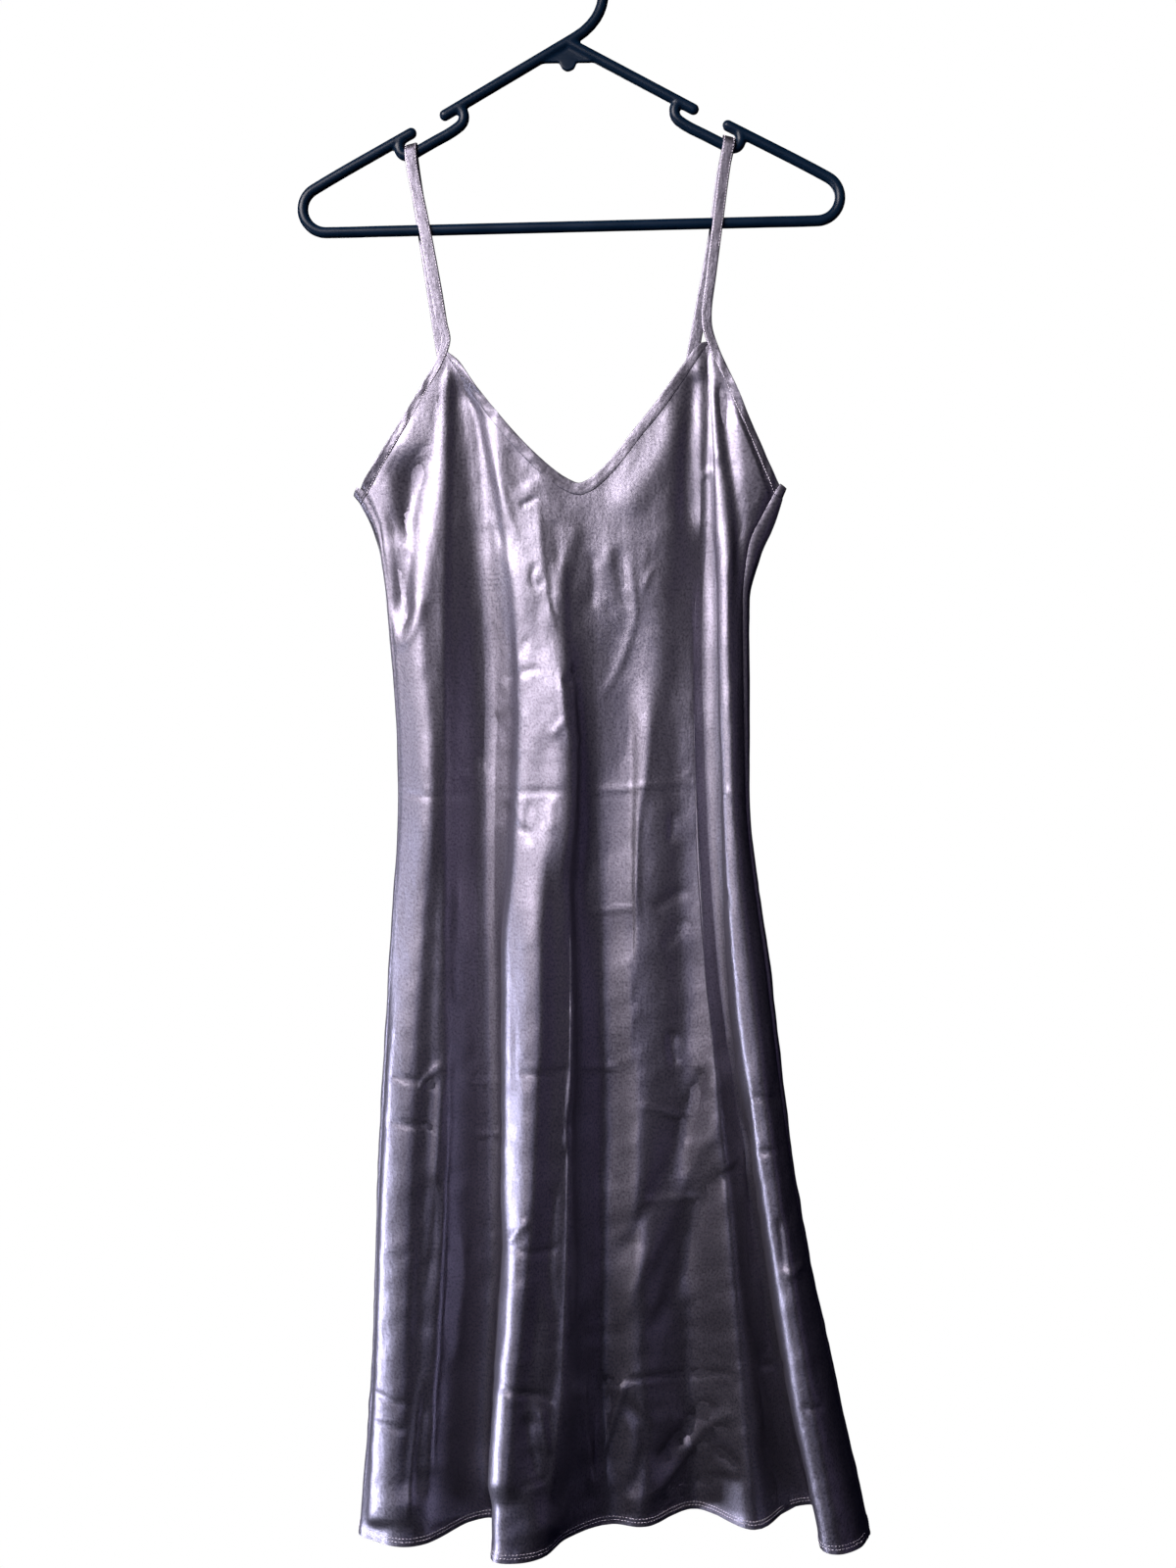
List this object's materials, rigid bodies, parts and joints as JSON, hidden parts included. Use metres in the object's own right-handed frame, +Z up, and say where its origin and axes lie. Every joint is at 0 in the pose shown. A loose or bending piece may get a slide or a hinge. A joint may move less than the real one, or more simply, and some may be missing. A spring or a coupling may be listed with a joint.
{
  "type": "slip dress on hanger",
  "caption": "Satin slip dress with a V neck, thin straps and a flared midi skirt, hanging from a notched plastic hanger.",
  "frame": {"origin": "the place inside the top of the hanger's hook where it rests on its rail", "axes": "+Z up, +X to the right as seen from the front, -Y towards the front of the dress, +Y along the rail"},
  "size_m": [0.4431, 0.1618, 1.2161],
  "materials": {
    "satin": "smooth dusty lilac satin with a soft sheen",
    "plastic": "semi-gloss navy black moulded plastic"
  },
  "bodies": {
    "root": {"hanger": "plastic", "front_panel": "satin", "back_panel": "satin", "neck_binding": "satin", "back_binding": "satin", "left_strap": "satin", "right_strap": "satin"}
  },
  "joints": []
}
